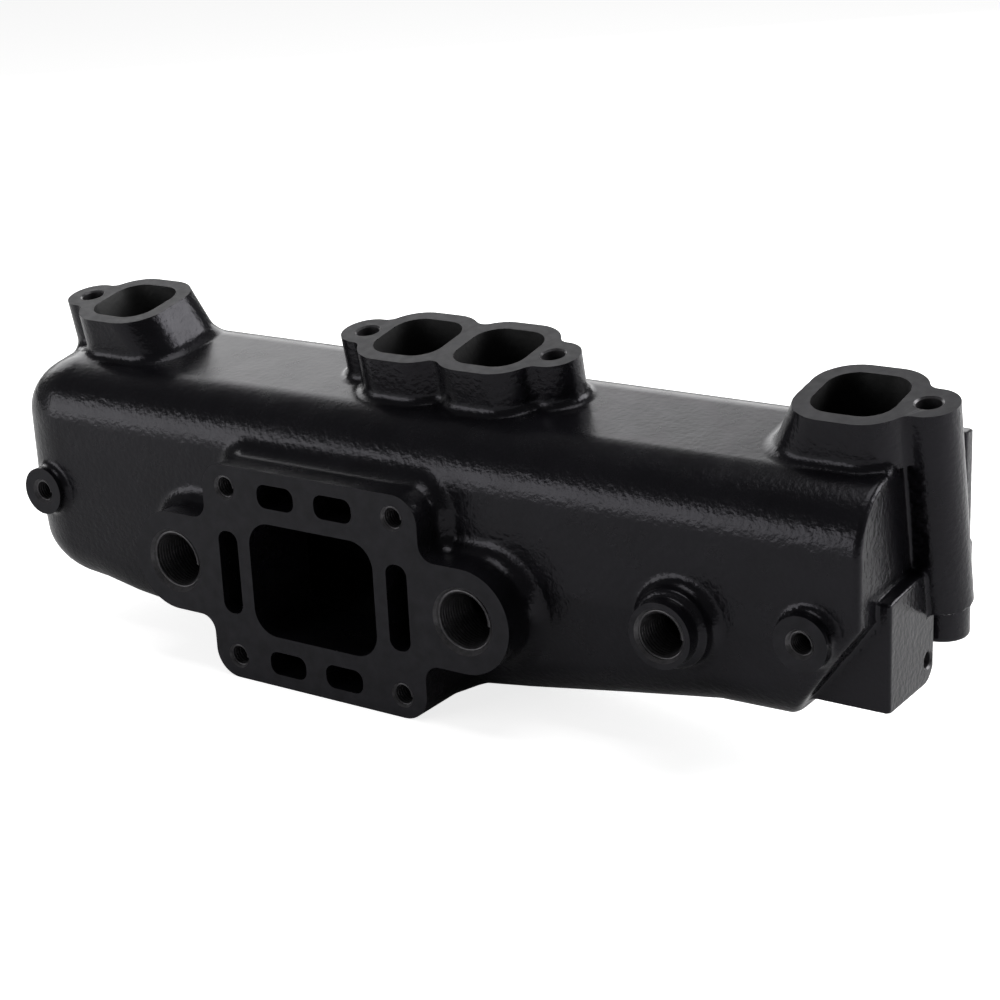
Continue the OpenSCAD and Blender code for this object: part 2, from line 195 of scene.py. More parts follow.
def towerPlan(x, along, up):
    depth = np.maximum(-up, 0)
    shape = None
    for side in (-1, 1):
        growth = 0.5 * towers["flare"] * depth
        cx = side * (towers["portX"][0] - growth)
        end = roundedRect(x - cx, along, towers["halfWide"] + growth, towers["halfHigh"], towers["corner"])
        lobe = np.hypot(x - side * towers["boltX"][0], along) - towers["lobe"]
        end = roundMin(end, lobe, towers["lobeFillet"])
        mid = roundedRect(x - side * towers["portX"][1], along, towers["halfWide"],
                          towers["halfHigh"], towers["corner"])
        lobe = np.hypot(x - side * towers["boltX"][1], along) - towers["lobe"]
        mid = roundMin(mid, lobe, towers["lobeFillet"])
        if shape is None:
            shape = (end, mid)
        else:
            shape = (np.minimum(shape[0], end), roundMin(shape[1], mid, towers["pairFillet"]))
    return np.minimum(*shape)


def portTube(x, y, z, grow):
    along, up = headPlace(y, z)
    tube = None
    for index, lean in ((0, ports["endLean"]), (1, 0.0)):
        for side in (-1, 1):
            cx = side * (towers["portX"][index] + lean * up)
            one = roundedRect((x - cx), along, ports["wide"] / 2 + grow, ports["high"] / 2 + grow,
                              ports["corner"] + grow * 0.75)
            tube = one if tube is None else np.minimum(tube, one)
    return tube


def riserRect(x, z, wide, high, corner, dx=0.0, dz=0.0):
    return roundedRect(x - riser["x"] - dx, z - riser["z"] - dz, wide / 2, high / 2, corner)


def riserSlots(x, z):
    holes = riserRect(x, z, riser["openWide"], riser["openHigh"], riser["openCorner"])
    for side in (-1, 1):
        one = riserRect(x, z, riser["slotWide"], riser["slotHigh"], riser["slotCorner"],
                        side * riser["slotX"])
        holes = np.minimum(holes, one)
        for dx in riser["smallX"]:
            one = riserRect(x, z, riser["smallWide"], riser["smallHigh"], riser["smallCorner"],
                            dx, side * riser["smallZ"])
            holes = np.minimum(holes, one)
    return holes


def earPlan(x, z):
    body = riserRect(x, z, riser["wide"], riser["high"], riser["corner"])
    for side in (-1, 1):
        u = (x - riser["x"]) * side
        v = z - riser["z"]
        ear = np.hypot(u - ears["x"], v) - ears["radius"]
        web = np.maximum(np.maximum(np.abs(v) - ears["radius"], u - ears["x"]), -u)
        body = roundMin(body, np.minimum(ear, web), ears["webFillet"])
    return body


def sleeveField(x, y, z):
    along, up = headPlace(y, z)
    tube = None
    for bx, length in zip(boltHoles["x"][:3], boltHoles["length"][:3]):
        one = np.maximum(np.hypot(x - bx, along) - boltHoles["sleeve"], -(up + length))
        tube = one if tube is None else np.minimum(tube, one)
    return tube


def galleryField(x, y, z, inset):
    g = gallery
    across = np.maximum(g["front"] - y, y - g["back"])
    top = z - g["top"]
    (xl, zl), (xr, zr), (xs, zs) = g["leftFoot"], g["rightFoot"], g["slantFoot"]
    lowLeft = (zl - g["leftSlope"] * (x - xl) - z) / math.hypot(1, g["leftSlope"])
    lowRight = (zr + g["rightSlope"] * (x - xr) - z) / math.hypot(1, g["rightSlope"])
    low = np.maximum(np.maximum(lowLeft, lowRight), g["low"] - z)
    run, rise = g["slantRun"]
    slant = ((x - xs) * rise - (z - zs) * run) / math.hypot(run, rise)
    ends = np.maximum(np.maximum(-g["end"] - x, slant), x - g["end"])
    walls = roundMax(np.maximum(top, low), across, g["sideRound"])
    return roundMax(walls, ends, g["endRound"]) + inset


def castField(x, y, z):
    along, up = headPlace(y, z)
    plan = towerPlan(x, along, up)
    cap = up - head["machiningStock"]
    posts = np.maximum(plan, cap)
    body = roundMin(barField(x, y, z), np.maximum(posts, -(up + towers["skirt"])), towers["footFillet"])
    body = roundMax(body, endField(x, z), log["edgeRound"])
    body = np.minimum(body, np.maximum(posts, -(up + towers["overhang"])))
    trunk = logField(x, y, z)
    # left bolt lobe runs on down the rounded end
    lobe = np.hypot(x + towers["boltX"][0], along) - towers["lobe"]
    lobe = np.maximum(np.maximum(lobe, cap), -(up + leftLobe["length"]))
    body = np.minimum(body, roundMin(trunk, lobe, leftLobe["fillet"]))
    # right bolt column, cut square below
    column = np.hypot(x - towers["boltX"][0], along) - towers["lobe"]
    column = np.maximum(np.maximum(column, cap), -(up + boltHoles["length"][3]))
    rib = roundedRect(x - (rearRib["x0"] + rearRib["x1"]) / 2, y - (rearRib["y0"] + rearRib["y1"]) / 2,
                      (rearRib["x1"] - rearRib["x0"]) / 2, (rearRib["y1"] - rearRib["y0"]) / 2,
                      rearRib["corner"])
    rib = np.maximum(rib, np.maximum(rearRib["z0"] - z, z - rearRib["z1"]))
    column = roundMin(column, rib, rearRib["fillet"])
    body = np.minimum(body, roundMin(trunk, column, boltHoles["columnFillet"]))
    # lug on the slanted end, with a sloping top
    crown = lug["top"] + np.clip((y - lug["front"]) * lug["slope"], 0, lug["crest"] - lug["top"])
    block = roundMax(np.maximum(lug["front"] - y, y - lug["back"]), x - lug["x"], lug["edge"])
    block = roundMax(block, z - crown, lug["edge"])
    low = roundMax(lug["low"] - z, y - lug["back"], lug["lowRound"])
    block = roundMax(block, low, lug["lowEdge"])
    block = np.maximum(block, lug["root"] - x)
    body = roundMin(body, block, lug["fillet"])
    # post behind the lug
    post = np.hypot(x - rearBoss["x"], y - rearBoss["y"]) - rearBoss["radius"]
    post = roundMax(post, np.maximum(rearBoss["low"] - z, z - rearBoss["top"]), rearBoss["edge"])
    body = roundMin(body, post, rearBoss["fillet"])
    # neck, flange and ears
    stock = head["machiningStock"]
    face = riser["face"] - stock - y
    neck = np.maximum(riserRect(x, z, riser["wide"], riser["high"], riser["corner"]), face)
    neck = np.maximum(neck, y - riser["neckRoot"])
    body = np.minimum(body, roundMin(trunk, neck, riser["neckFillet"]))
    lobes = np.maximum(np.maximum(earPlan(x, z), face), y - riser["throat"])
    body = np.minimum(body, roundMin(trunk, lobes, ears["backFillet"]))
    body = np.maximum(body, log["lowest"] - z)
    # sensor and bracket bosses
    disc = np.hypot(x - sensor["x"], z - sensor["z"])
    boss = np.maximum(disc - sensor["disc"], sensor["face"] - stock - y)
    step = roundMax(disc - sensor["base"], sensor["face"] + sensor["step"] - y, sensor["stepRound"])
    boss = np.maximum(roundMin(boss, step, sensor["stepRound"]), y - sensor["root"])
    body = roundMin(body, boss, sensor["fillet"])
    for bx, by in zip(brackets["x"], brackets["face"]):
        disc = np.hypot(x - bx, z - brackets["z"])
        boss = np.maximum(np.maximum(disc - brackets["disc"], by - stock - y), y - brackets["root"])
        body = roundMin(body, boss, brackets["fillet"])
    # water space
    water = logField(x, y, z) + log["wall"]
    passage = riserRect(x, z, riser["wide"] - 2 * riser["neckWall"],
                        riser["high"] - 2 * riser["neckWall"], riser["innerCorner"])
    for sx in (-1, 1):
        for sz in (-1, 1):
            lump = np.hypot(x - riser["x"] - sx * riser["boltX"], z - riser["z"] - sz * riser["boltZ"])
            passage = np.maximum(passage, riser["studLump"] - lump)
    passage = np.maximum(np.maximum(passage, riser["face"] + riser["plate"] - y), y - riser["throat"])
    water = np.minimum(water, passage)
    water = np.minimum(water, np.maximum(riserSlots(x, z), y - riser["slotRoot"]))
    inner = np.minimum(galleryField(x, y, z, 0.0), sleeveField(x, y, z))
    tubes = np.maximum(portTube(x, y, z, gallery["runnerWall"]), -(up + gallery["runnerDepth"]))
    inner = np.minimum(inner, tubes)
    duct = riserRect(x, z, riser["openWide"] + 2 * riser["ductWall"],
                     riser["openHigh"] + 2 * riser["ductWall"], riser["openCorner"] + riser["ductWall"])
    duct = np.maximum(duct, np.maximum(y - riser["ductRoot"], riser["face"] - riser["ductMouth"] - y))
    inner = np.minimum(inner, duct)
    for side in (-1, 1):
        knob = np.hypot(x - riser["x"] - side * ears["x"], z - riser["z"]) - ears["radius"] + ears["inset"]
        inner = np.minimum(inner, np.maximum(knob, y - ears["inner"]))
    knob = np.hypot(x - sensor["x"], z - sensor["z"]) - sensor["base"]
    inner = np.minimum(inner, np.maximum(knob, y - sensor["inner"]))
    for bx in brackets["x"]:
        knob = np.hypot(x - bx, z - brackets["z"]) - brackets["disc"]
        inner = np.minimum(inner, np.maximum(knob, y - brackets["inner"]))
    water = np.maximum(water, -inner)
    # gas passages
    gas = np.maximum(portTube(x, y, z, 0.0), -(up + ports["depth"]))
    gas = np.minimum(gas, galleryField(x, y, z, gallery["wall"]))
    opening = riserRect(x, z, riser["openWide"], riser["openHigh"], riser["openCorner"])
    gas = np.minimum(gas, np.maximum(opening, y - riser["openingRoot"]))
    gas = np.maximum(gas, -sleeveField(x, y, z))
    return np.maximum(np.maximum(body, -water), -gas)


def fieldGradient(p):
    step = 0.05
    sides = ((1, -1, -1), (-1, -1, 1), (-1, 1, -1), (1, 1, 1))
    total = np.zeros_like(p)
    for k in sides:
        k = np.array(k, float)
        q = p + k * step
        total += castField(q[:, 0], q[:, 1], q[:, 2])[:, None] * k
    return total / (4 * step)


def castSkin():
    cell = casting["cell"]
    band = casting["band"]
    low = np.array(casting["low"])
    high = np.array(casting["high"])
    counts = np.ceil((high - low) / cell).astype(int) + 1
    xs = (low[0] + cell * np.arange(counts[0]))[:, None, None]
    ys = (low[1] + cell * np.arange(counts[1]))[None, :, None]
    zs = (low[2] + cell * np.arange(counts[2]))[None, None, :]
    values = np.broadcast_to(castField(xs, ys, zs), counts).astype(np.float32)
    grid = openvdb.FloatGrid(band)
    grid.copyFromArray(np.clip(values, -band, band))
    points, quads = grid.convertToQuads(0.0)
    points = np.array(points, float) * cell + low
    say("skin of %d points" % len(points))
    for _ in range(casting["settling"]):  # settle each point on the true surface
        slope = fieldGradient(points)
        value = castField(points[:, 0], points[:, 1], points[:, 2])
        move = slope * (value / np.maximum((slope ** 2).sum(1), 0.25))[:, None]
        size = np.linalg.norm(move, axis=1, keepdims=True)
        points -= move * np.minimum(1, 0.6 * cell / np.maximum(size, 1e-9))
    mesh = bpy.data.meshes.new("castSkin")
    mesh.from_pydata((points * millimetre).tolist(), [], quads.tolist())
    mesh.validate()
    obj = bpy.data.objects.new("castSkin", mesh)
    scene.collection.objects.link(obj)
    return obj


# local Z points out of the head, out of the riser side, or along the log
def placed(kind, x=0.0, y=0.0, z=0.0):
    if kind == "head":
        turn = Matrix(((1, 0, 0), (0, cosTilt, -sinTilt), (0, sinTilt, cosTilt)))
    elif kind == "front":
        turn = Matrix(((1, 0, 0), (0, 0, -1), (0, 1, 0)))
    elif kind == "end":
        turn = Matrix(((0, 0, 1), (1, 0, 0), (0, 1, 0)))
    else:
        turn = Matrix.Identity(3)
    return Matrix.Translation((x, y, z)) @ turn.to_4x4()


def prism(points, low, high, place):
    n = len(points)
    verts = [place @ Vector((u, v, w)) for w in (low, high) for u, v in points]
    faces = [list(range(n))[::-1], list(range(n, 2 * n))]
    faces += [[k, (k + 1) % n, n + (k + 1) % n, n + k] for k in range(n)]
    return verts, faces


def block(x0, x1, y0, y1, z0, z1, kind="plain"):
    return prism([(x0, y0), (x1, y0), (x1, y1), (x0, y1)], z0, z1, placed(kind))


def turned(profile, place, sides=72):  # a solid of revolution about local Z from (radius, height) pairs
    verts, faces = [], []
    for r, h in profile:
        for k in range(sides):
            a = 2 * math.pi * k / sides
            verts.append(place @ Vector((r * math.cos(a), r * math.sin(a), h)))
    for j in range(len(profile) - 1):
        for k in range(sides):
            m = (k + 1) % sides
            faces.append([j * sides + k, j * sides + m, (j + 1) * sides + m, (j + 1) * sides + k])
    faces.append(list(range(sides))[::-1])
    last = (len(profile) - 1) * sides
    faces.append([last + k for k in range(sides)])
    return verts, faces


def meshOf(name, *shapes):
    verts, faces = [], []
    for shapeVerts, shapeFaces in shapes:
        start = len(verts)
        verts += [v * millimetre for v in shapeVerts]
        faces += [[start + k for k in f] for f in shapeFaces]
    mesh = bpy.data.meshes.new(name)
    mesh.from_pydata(verts, [], faces)
    obj = bpy.data.objects.new(name, mesh)
    scene.collection.objects.link(obj)
    return obj


def combined(obj, tool, operation, name):
    modifier = obj.modifiers.new("cut", "BOOLEAN")
    modifier.operation = operation
    modifier.solver = "MANIFOLD"
    modifier.object = tool
    bpy.context.view_layer.update()
    mesh = bpy.data.meshes.new_from_object(obj.evaluated_get(bpy.context.evaluated_depsgraph_get()))
    obj.modifiers.clear()
    mesh.name = name
    return mesh


def discard(obj):
    mesh = obj.data
    bpy.data.objects.remove(obj)
    bpy.data.meshes.remove(mesh)


def cutAway(obj, *shapes):
    tool = meshOf("tool", *shapes)
    old = obj.data
    obj.data = combined(obj, tool, "DIFFERENCE", old.name)
    bpy.data.meshes.remove(old)
    discard(tool)


def takeOut(obj, name, *shapes):  # splits off what lies inside the shapes as a piece of its own
    tool = meshOf("tool", *shapes)
    piece = bpy.data.objects.new(name, combined(obj, tool, "INTERSECT", name))
    scene.collection.objects.link(piece)
    old = obj.data
    obj.data = combined(obj, tool, "DIFFERENCE", old.name)
    bpy.data.meshes.remove(old)
    discard(tool)
    return piece


def drill(place, radius, mouthRadius, deep):  # a hole with a chamfered mouth
    return turned([(radius, -deep), (radius, radius - mouthRadius), (mouthRadius, 0),
                   (mouthRadius, mouthRadius)], place)


milling = {"over": 20.0, "front": -80.0, "riserHalf": (110.0, 60.0), "spotHalf": 20.0, "boltOver": 20.0}


def spotFace(x, z, face, halfX, halfZ):  # clears the stock in front of a flat face
    return block(x - halfX, x + halfX, milling["front"], face, z - halfZ, z + halfZ)


def machineCasting(skin):
    f = riser["face"]
    spot = milling["spotHalf"]
    faces = [
        block(-reach["x"], reach["x"], -reach["y"], reach["y"], 0, milling["over"], "head"),
        spotFace(riser["x"], riser["z"], f, *milling["riserHalf"]),
        spotFace(sensor["x"], sensor["z"], sensor["face"], spot, spot),
    ]
    for bx, by in zip(brackets["x"], brackets["face"]):
        faces.append(spotFace(bx, brackets["z"], by, spot, spot))
    cutAway(skin, *faces)
    holes = []
    for bx, length in zip(boltHoles["x"], boltHoles["length"]):
        holes.append(drill(placed("head", bx), boltHoles["radius"], boltHoles["chamfer"],
                           length + milling["boltOver"]))
    for sx in (-1, 1):
        for sz in (-1, 1):
            place = placed("front", riser["x"] + sx * riser["boltX"], f, riser["z"] + sz * riser["boltZ"])
            holes.append(drill(place, riser["boltMajor"], riser["boltMouth"], riser["boltDepth"]))
        place = placed("front", riser["x"] + sx * ears["x"], f, riser["z"])
        holes.append(drill(place, ears["major"], ears["chamfer"], ears["inner"] - f + 1))
    place = placed("front", sensor["x"], sensor["face"], sensor["z"])
    holes.append(drill(place, sensor["major"], sensor["chamfer"], sensor["depth"]))
    for bx, by in zip(brackets["x"], brackets["face"]):
        place = placed("front", bx, by, brackets["z"])
        holes.append(drill(place, brackets["major"], brackets["chamfer"], brackets["depth"]))
    place = placed("end", lug["x"], lug["holeY"], lug["holeZ"])
    holes.append(drill(place, lug["holeRadius"], lug["holeMouth"], lug["holeDepth"]))
    cutAway(skin, *holes)


def roundedPoints(halfU, halfV, r, steps=8):
    points = []
    for cu, cv, start in ((1, 1, 0), (-1, 1, 90), (-1, -1, 180), (1, -1, 270)):
        for k in range(steps + 1):
            a = math.radians(start + 90 * k / steps)
            points.append((cu * (halfU - r) + r * math.cos(a), cv * (halfV - r) + r * math.sin(a)))
    return points


def pole(place, radius, low, high):
    return turned([(radius, low), (radius, high)], place, 64)


def across(points, y0, y1):  # a prism across the log from its outline in x and z
    side = Matrix(((1, 0, 0, 0), (0, 0, -1, 0), (0, 1, 0, 0), (0, 0, 0, 1)))
    return prism(points, -y1, -y0, side)


# where the one casting is split into its named regions
seams = {
    "lift": 0.4, "endTowers": 120.0, "midTower": 110.0, "flangeGap": 0.1, "flangeHalf": 60.0,
    "earReach": 115.0, "earBack": -46.0, "earHalf": 40.0, "ductGrow": 6.0, "ductCorner": 18.0,
    "ductBack": -31.0, "neckBack": -33.5, "neckLow": -53.0, "neckHigh": 56.0,
    "sensor": (19.0, 46.0), "brackets": ((16.0, 45.5), (16.0, 46.0)),
    "gallery": [(-203.5, -58.5), (-203.5, -113), (-88, -139.2), (9, -139.2), (175, -113.6),
                (203.5, -76), (203.5, -58.5)],
    "galleryDepth": (-31.0, 35.4),
    "runners": (("left_runner", -222, -150), ("centre_left_runner", -47, 0),
                ("centre_right_runner", 0, 47), ("right_runner", 150, 212)),
    "runnerSize": (-29.0, 24.4, -75.0, -27.0),
    "column": (12.9, -92.0), "columnWall": (209.0, 222.0, -17.0, 0.0, -66.0),
    "lugGap": 0.5, "lugUnder": 2.0, "lugTop": -66.0, "lugEnd": 225.0, "lugDepth": (-32.0, 14.0),
    "rearBoss": (13.4, -110.5, -67.5), "rearRib": (20.0, 33.0, -67.5),
    "leftCap": -196.0, "rightCap": 170.0, "frontWall": -30.0, "backWall": 34.0,
}


def splitCasting(skin):
    f, rx, rz = riser["face"], riser["x"], riser["z"]
    half = riser["wide"] / 2 + seams["flangeGap"]
    wide, deep, low, high = reach["x"], reach["y"], reach["low"], reach["high"]
    deck = seams["lift"] - log["deckDepth"]
    pieces = {}

    def take(name, *shapes):
        pieces[name] = takeOut(skin, name, *shapes)
        say("%s %d faces" % (name, len(pieces[name].data.polygons)))

    names = ("left_bolt_sleeve", "centre_left_bolt_sleeve", "centre_right_bolt_sleeve")
    for name, bx in zip(names, boltHoles["x"]):
        take(name, pole(placed("head", bx), boltHoles["sleeve"], -200, 5))
    for name, x0, x1 in (("left_port_tower", -wide, -seams["endTowers"]),
                         ("right_port_tower", seams["endTowers"], wide),
                         ("centre_port_tower", -seams["midTower"], seams["midTower"])):
        take(name, block(x0, x1, -deep, deep, deck, 5, "head"))
    front = milling["front"]
    take("riser_flange", block(rx - half, rx + half, front, f + riser["plate"],
                               rz - seams["flangeHalf"], rz + seams["flangeHalf"]))
    for name, x0, x1 in (("left_water_boss", rx - seams["earReach"], rx - half),
                         ("right_water_boss", rx + half, rx + seams["earReach"])):
        take(name, block(x0, x1, front, seams["earBack"], rz - seams["earHalf"], rz + seams["earHalf"]))
    ductPoints = roundedPoints(riser["openWide"] / 2 + seams["ductGrow"],
                               riser["openHigh"] / 2 + seams["ductGrow"], seams["ductCorner"])
    take("riser_duct", prism(ductPoints, -seams["ductBack"], -f, placed("front", rx, 0, rz)))
    take("riser_neck", block(rx - half, rx + half, -deep, seams["neckBack"],
                             rz + seams["neckLow"], rz + seams["neckHigh"]))
    radius, back = seams["sensor"]
    take("sensor_boss", pole(placed("front", sensor["x"], 0, sensor["z"]), radius, back, -front))
    names = ("left_bracket_boss", "right_bracket_boss")
    for name, bx, (radius, back) in zip(names, brackets["x"], seams["brackets"]):
        take(name, pole(placed("front", bx, 0, brackets["z"]), radius, back, -front))
    take("exhaust_gallery", across(seams["gallery"], *seams["galleryDepth"]))
    for name, x0, x1 in seams["runners"]:
        take(name, block(x0, x1, *seams["runnerSize"], "head"))
    radius, foot = seams["column"]
    x0, x1, a0, a1, wallFoot = seams["columnWall"]
    take("right_bolt_column", pole(placed("head", boltHoles["x"][3]), radius, foot, deck),
         block(x0, x1, a0, a1, wallFoot, deck, "head"))
    (x1, z1), (x0, z0) = log["slantTop"], log["slantFoot"]
    gap, under, top, end = (seams[k] for k in ("lugGap", "lugUnder", "lugTop", "lugEnd"))
    wedge = [(x0 + gap, z0 - under), (x1 + gap, z1), (x1 + gap, top), (end, top), (end, z0 - under)]
    take("end_lug", across(wedge[::-1], *seams["lugDepth"]))
    take("rear_boss", pole(placed("plain", rearBoss["x"], rearBoss["y"]), *seams["rearBoss"]))
    y0, y1, foot = seams["rearRib"]
    take("rear_rib", block(x1 + gap, wide, y0, y1, foot, -high))
    take("left_end_cap", block(-wide, seams["leftCap"], -deep, deep, low, high))
    take("right_end_cap", block(seams["rightCap"], wide, -deep, deep, low, high))
    take("front_wall", block(-wide, wide, -deep, seams["frontWall"], low, high))
    take("back_wall", block(-wide, wide, seams["backWall"], deep, low, high))
    take("top_deck", block(-wide, wide, -deep, deep, log["partingZ"], high))
    skin.name = "floor_wall"
    pieces["floor_wall"] = skin
    return pieces


def newMaterial(name):
    material = bpy.data.materials.new(name)
    material.use_nodes = True
    tree = material.node_tree
    shader = tree.nodes["Principled BSDF"]
    coordinates = tree.nodes.new("ShaderNodeTexCoord")
    return material, tree, shader, coordinates.outputs["Object"]


def noise(tree, where, scale, detail=3.0, rough=0.55, squeeze=None):
    if squeeze:
        mapping = tree.nodes.new("ShaderNodeMapping")
        mapping.inputs["Scale"].default_value = squeeze[0]
        mapping.inputs["Rotation"].default_value = squeeze[1]
        tree.links.new(where, mapping.inputs["Vector"])
        where = mapping.outputs["Vector"]
    node = tree.nodes.new("ShaderNodeTexNoise")
    node.inputs["Scale"].default_value = scale
    node.inputs["Detail"].default_value = detail
    node.inputs["Roughness"].default_value = rough
    tree.links.new(where, node.inputs["Vector"])
    return node.outputs["Fac"]


def ramp(tree, value, stops):
    node = tree.nodes.new("ShaderNodeValToRGB")
    ends = node.color_ramp.elements
    while len(ends) < len(stops):
        ends.new(0.5)
    for end, (place, colour) in zip(ends, stops):
        end.position = place
        end.color = (*colour, 1) if len(colour) == 3 else (colour[0],) * 3 + (1,)
    tree.links.new(value, node.inputs["Fac"])
    return node.outputs["Color"]


def bump(tree, height, strength, distance, before=None):
    node = tree.nodes.new("ShaderNodeBump")
    if isinstance(strength, float):
        node.inputs["Strength"].default_value = strength
    else:
        tree.links.new(strength, node.inputs["Strength"])
    node.inputs["Distance"].default_value = distance
    tree.links.new(height, node.inputs["Height"])
    if before:
        tree.links.new(before, node.inputs["Normal"])
    return node.outputs["Normal"]


paint = {"colour": (0.0046, 0.0044, 0.0056), "roughLow": 0.20, "roughHigh": 0.30, "specular": 0.24,
         "tint": (0.93, 0.91, 1.0), "patches": 45, "ripples": 60, "wave": 0.00012, "peel": 430,
         "grain": 0.00026, "deckGrain": 0.22}


def blackPaint():
    material, tree, shader, where = newMaterial("blackPaint")
    shader.inputs["Specular IOR Level"].default_value = paint["specular"]
    shader.inputs["Specular Tint"].default_value = (*paint["tint"], 1)
    tint = ramp(tree, noise(tree, where, paint["patches"]),
                [(0.3, tuple(0.75 * c for c in paint["colour"])),
                 (0.7, tuple(1.3 * c for c in paint["colour"]))])
    tree.links.new(tint, shader.inputs["Base Color"])
    rough = ramp(tree, noise(tree, where, paint["ripples"], 4),
                 [(0.3, (paint["roughLow"],)), (0.7, (paint["roughHigh"],))])
    tree.links.new(rough, shader.inputs["Roughness"])
    normal = bump(tree, noise(tree, where, paint["ripples"], 2), 0.5, paint["wave"])
    shape = tree.nodes.new("ShaderNodeNewGeometry")  # the deck is smoother than the walls
    split = tree.nodes.new("ShaderNodeSeparateXYZ")
    fade = tree.nodes.new("ShaderNodeMapRange")
    tree.links.new(shape.outputs["Normal"], split.inputs["Vector"])
    tree.links.new(split.outputs["Z"], fade.inputs["Value"])
    for label, value in (("From Min", 0.7), ("From Max", 0.97), ("To Min", 1.0),
                         ("To Max", paint["deckGrain"])):
        fade.inputs[label].default_value = value
    peel = noise(tree, where, paint["peel"], 2.0, 0.5)
    normal = bump(tree, peel, fade.outputs["Result"], paint["grain"], normal)
    tree.links.new(normal, shader.inputs["Normal"])
    return material


milled = {"colour": (0.0165, 0.0160, 0.0190), "specular": 0.12, "marks": 0.00003}


def milledFace():
    material, tree, shader, where = newMaterial("milledFace")
    shader.inputs["Specular IOR Level"].default_value = milled["specular"]
    tint = ramp(tree, noise(tree, where, 160), [(0.3, tuple(0.8 * c for c in milled["colour"])),
                                                (0.75, tuple(1.25 * c for c in milled["colour"]))])
    tree.links.new(tint, shader.inputs["Base Color"])
    rough = ramp(tree, noise(tree, where, 260), [(0.3, (0.46,)), (0.7, (0.56,))])
    tree.links.new(rough, shader.inputs["Roughness"])
    lines = noise(tree, where, 300, 2, 0.5, ((1, 0.12, 8), (0, 0, 0)))
    normal = bump(tree, lines, 0.3, milled["marks"])
    normal = bump(tree, noise(tree, where, 900, 2), 0.25, 0.00006, normal)
    tree.links.new(normal, shader.inputs["Normal"])
    return material


bored = {"colour": (0.060, 0.058, 0.062), "rough": 0.32}


def boredIron():
    material, tree, shader, where = newMaterial("boredIron")
    shader.inputs["Metallic"].default_value = 0.55
    tint = ramp(tree, noise(tree, where, 500, 4), [(0.35, tuple(0.8 * c for c in bored["colour"])),
                                                   (0.65, tuple(1.25 * c for c in bored["colour"]))])
    tree.links.new(tint, shader.inputs["Base Color"])
    shader.inputs["Roughness"].default_value = bored["rough"]
    tree.links.new(bump(tree, noise(tree, where, 1500, 3), 0.2, 0.00003), shader.inputs["Normal"])
    return material


inside = {"colour": (0.0035, 0.0034, 0.0038), "rough": 0.6}


def rawInside():
    material, tree, shader, where = newMaterial("rawInside")
    tint = ramp(tree, noise(tree, where, 300, 4), [(0.3, tuple(0.6 * c for c in inside["colour"])),
                                                   (0.7, tuple(1.6 * c for c in inside["colour"]))])
    tree.links.new(tint, shader.inputs["Base Color"])
    shader.inputs["Roughness"].default_value = inside["rough"]
    tree.links.new(bump(tree, noise(tree, where, 350, 4), 0.6, 0.0004), shader.inputs["Normal"])
    return material


finishes = [blackPaint(), milledFace(), boredIron(), rawInside()]


def array(collection, attribute, width):
    values = np.empty(len(collection) * width, np.float32 if attribute != "vertex_index" else np.int32)
    collection.foreach_get(attribute, values)
    return values.reshape(-1, width) if width > 1 else values


def holeAxes():
    along = np.array((0, cosTilt, sinTilt))
    down = np.array((0, -sinTilt, cosTilt))
    axes = [((bx, 0, 0), down, boltHoles["chamfer"]) for bx in boltHoles["x"]]
    front = np.array((0.0, -1, 0))
    for sx in (-1, 1):
        for sz in (-1, 1):
            axes.append(((riser["x"] + sx * riser["boltX"], 0, riser["z"] + sz * riser["boltZ"]), front,
                         riser["boltMouth"]))
        axes.append(((riser["x"] + sx * ears["x"], 0, riser["z"]), front, ears["chamfer"]))
    axes.append(((sensor["x"], 0, sensor["z"]), front, sensor["chamfer"]))
    for bx in brackets["x"]:
        axes.append(((bx, 0, brackets["z"]), front, brackets["chamfer"]))
    axes.append(((0, lug["holeY"], lug["holeZ"]), np.array((1.0, 0, 0)), lug["holeMouth"]))
    return axes


def finishPiece(piece):
    mesh = piece.data
    mesh.materials.clear()
    for material in finishes:
        mesh.materials.append(material)
    mesh.polygons.foreach_set("use_smooth", [True] * len(mesh.polygons))
    mesh.set_sharp_from_angle(angle=math.radians(40))
    centres = array(mesh.polygons, "center", 3) / millimetre
    normals = array(mesh.polygons, "normal", 3)
    kind = np.zeros(len(mesh.polygons), np.int32)
    x, y, z = centres.T
    _, up = headPlace(y, z)
    headUp = normals[:, 2] * cosTilt - normals[:, 1] * sinTilt
    kind[(np.abs(up) < 0.02) & (headUp > 0.99)] = 1
    outwards = normals[:, 1] < -0.99
    for face in (riser["face"], sensor["face"], *brackets["face"]):
        kind[outwards & (np.abs(y - face) < 0.02)] = 1
    gas = np.minimum(portTube(x, y, z, 0.0), galleryField(x, y, z, gallery["wall"]))
    kind[(kind == 0) & (gas < 0.3) & (up < -0.2)] = 3
    for origin, axis, radius in holeAxes():
        away = centres - np.array(origin)
        height = away @ axis
        radial = away - height[:, None] * axis
        distance = np.linalg.norm(radial, axis=1)
        facing = (radial * normals).sum(1) / np.maximum(distance, 1e-6)
        kind[(distance < radius + 0.02) & (facing < -0.3)] = 2
    mesh.polygons.foreach_set("material_index", kind)
    corners = array(mesh.corner_normals, "vector", 3).copy()
    vertexOfCorner = array(mesh.loops, "vertex_index", 1)
    places = array(mesh.vertices, "co", 3).astype(float) / millimetre
    near = np.abs(castField(places[:, 0], places[:, 1], places[:, 2])) < 0.06
    slope = np.zeros_like(places)
    slope[near] = fieldGradient(places[near])
    slope /= np.maximum(np.linalg.norm(slope, axis=1, keepdims=True), 1e-6)
    wanted = slope[vertexOfCorner]
    agree = (wanted * corners).sum(1) > 0.9
    corners[agree] = wanted[agree]
    mesh.normals_split_custom_set(corners.tolist())


